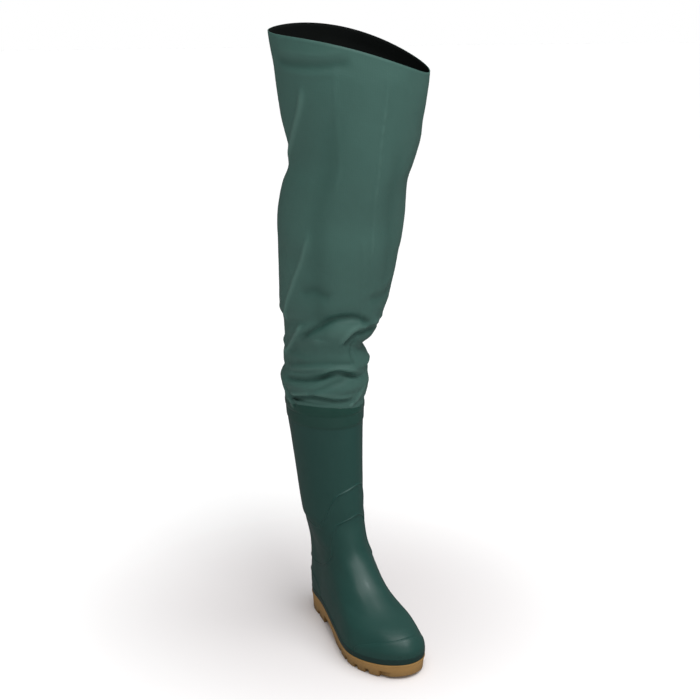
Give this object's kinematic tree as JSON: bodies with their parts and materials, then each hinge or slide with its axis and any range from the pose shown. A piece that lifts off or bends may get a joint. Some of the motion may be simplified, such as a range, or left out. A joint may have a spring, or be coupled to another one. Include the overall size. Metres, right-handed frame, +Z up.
{
  "type": "hip wader",
  "caption": "Hip wader for the right leg: moulded boot with a lugged sole, welded to a loose coated leg with a slanted open collar.",
  "frame": {"origin": "on the floor under the middle of the heel", "axes": "+X to the toe, +Y to the inner side of the leg, +Z up"},
  "size_m": [0.3536, 0.2352, 0.9314],
  "materials": {
    "moulded_pvc": "satin moulded green",
    "coated_fabric": "matt coated green fabric",
    "weld": "glossy dark green",
    "tread_pvc": "matt tan",
    "footbed": "dark felt"
  },
  "bodies": {
    "root": {"boot_upper": "moulded_pvc", "leg": "coated_fabric", "weld_tape": "weld", "outsole": "tread_pvc", "insole": "footbed"}
  },
  "joints": []
}
